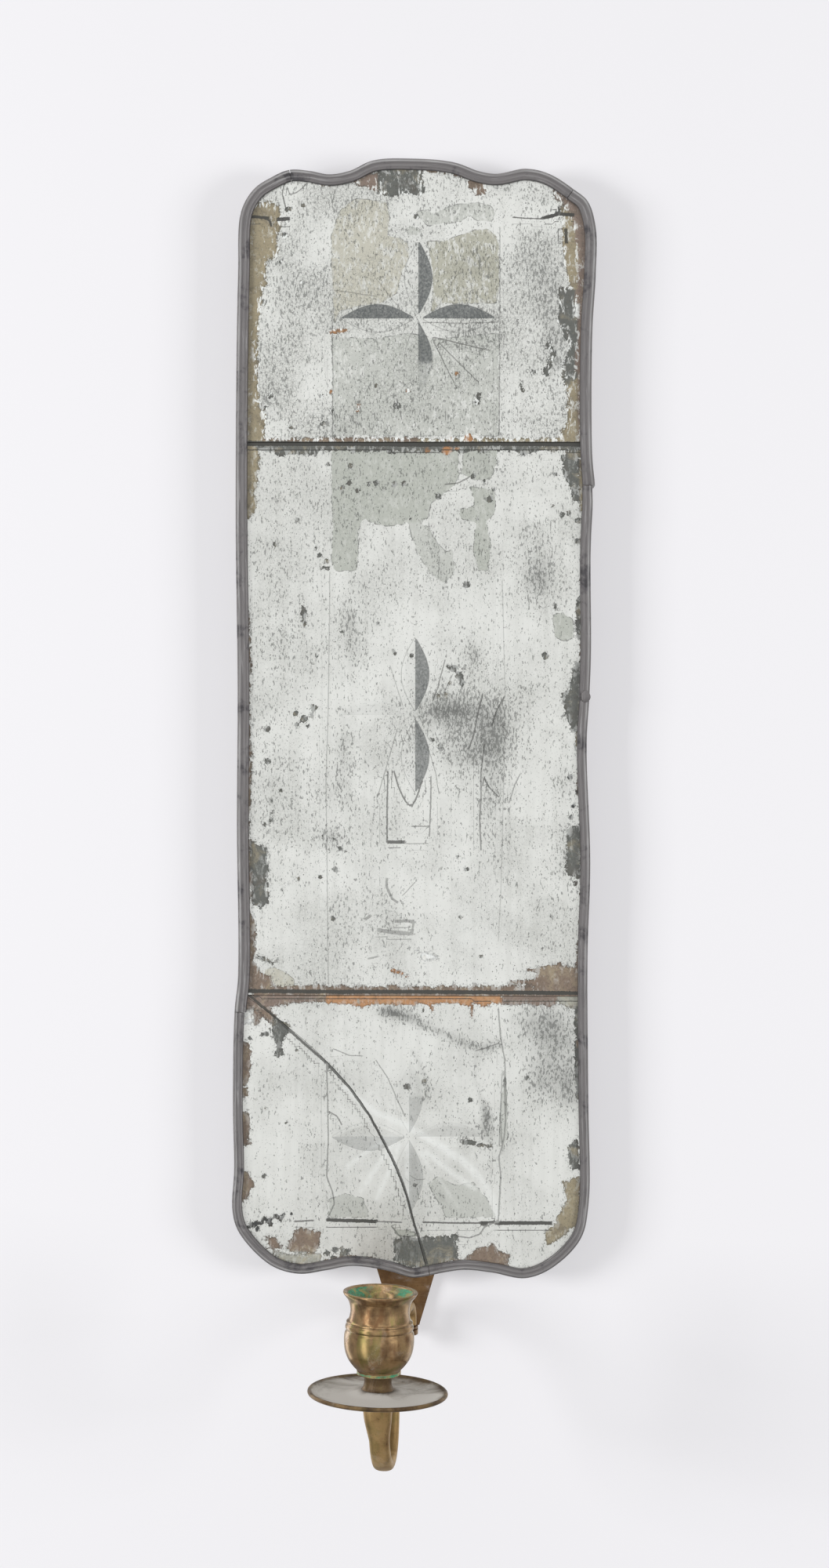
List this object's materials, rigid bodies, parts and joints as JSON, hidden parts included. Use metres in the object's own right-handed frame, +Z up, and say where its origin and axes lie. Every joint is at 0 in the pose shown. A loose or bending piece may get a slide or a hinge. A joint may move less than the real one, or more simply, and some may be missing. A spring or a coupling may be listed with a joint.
{
  "type": "mirror sconce",
  "caption": "Tall wall sconce with cut mirror panes in a wavy lead edge on a pine back, and a brass candle arm that swings and lifts out of a bracket below.",
  "frame": {"origin": "on the flat back of the frame, at the middle of the frame's width and height, where it lies on the wall", "axes": "+Z up, +Y into the wall, so the mirror faces -Y; +X to the right as the mirror is seen"},
  "size_m": [0.1891, 0.1448, 0.6593],
  "materials": {
    "lead": "dull hand-drawn lead, ridged and dented",
    "mirror_glass": "antique tin-silvered glass, speckled and worn",
    "frame_pine": "old dark pine",
    "panel_pine": "lighter, less handled pine",
    "peg_wood": "whittled end grain",
    "bracket_brass": "brown hammered plate",
    "brass": "aged cast brass with green bloom",
    "iron": "dark forged iron"
  },
  "bodies": {
    "frame": {"crest_came": "lead", "upper_right_came": "lead", "middle_right_came": "lead", "lower_right_came": "lead", "lower_left_came": "lead", "upper_left_came": "lead", "came_tack_1": "iron", "came_tack_2": "iron", "came_tack_3": "iron", "came_tack_4": "iron", "came_tack_5": "iron", "came_tack_6": "iron", "came_tack_7": "iron", "came_tack_8": "iron", "came_tack_9": "iron", "came_tack_10": "iron", "came_tack_11": "iron", "came_tack_12": "iron", "came_tack_13": "iron", "came_tack_14": "iron", "arm_bracket": "bracket_brass", "bracket_nail_1": "iron", "bracket_nail_2": "iron", "bracket_nail_3": "iron", "bracket_nail_4": "iron", "hanger_strap": "iron", "hanger_nail_1": "iron", "hanger_nail_2": "iron", "corner_peg_1": "peg_wood", "corner_peg_2": "peg_wood", "corner_peg_3": "peg_wood", "corner_peg_4": "peg_wood", "corner_peg_5": "peg_wood", "corner_peg_6": "peg_wood", "corner_peg_7": "peg_wood", "corner_peg_8": "peg_wood", "panel_brad_1": "iron", "panel_brad_2": "iron", "panel_brad_3": "iron", "panel_brad_4": "iron", "panel_brad_5": "iron", "panel_brad_6": "iron", "crest_rail": "frame_pine", "base_rail": "frame_pine", "left_stile": "frame_pine", "right_stile": "frame_pine", "back_panel": "panel_pine", "upper_pane": "mirror_glass", "middle_pane": "mirror_glass", "lower_pane_left_shard": "mirror_glass", "lower_pane_right_shard": "mirror_glass"},
    "washer": {"pivot_washer": "brass"},
    "arm": {"candle_arm": "brass", "drip_pan": "brass", "neck_collar": "brass", "candle_nozzle": "brass"}
  },
  "joints": [
    {"name": "arm_swivel", "type": "hinge", "parent": "frame", "child": "washer", "pos_m": [-0.0042, -0.012, -0.31705], "axis": [0, 0, 1], "range_deg": [-67, 82]},
    {"name": "arm_lift", "type": "slide", "parent": "washer", "child": "arm", "axis": [0, 0, 1], "range_m": [0, 0.0093]}
  ]
}
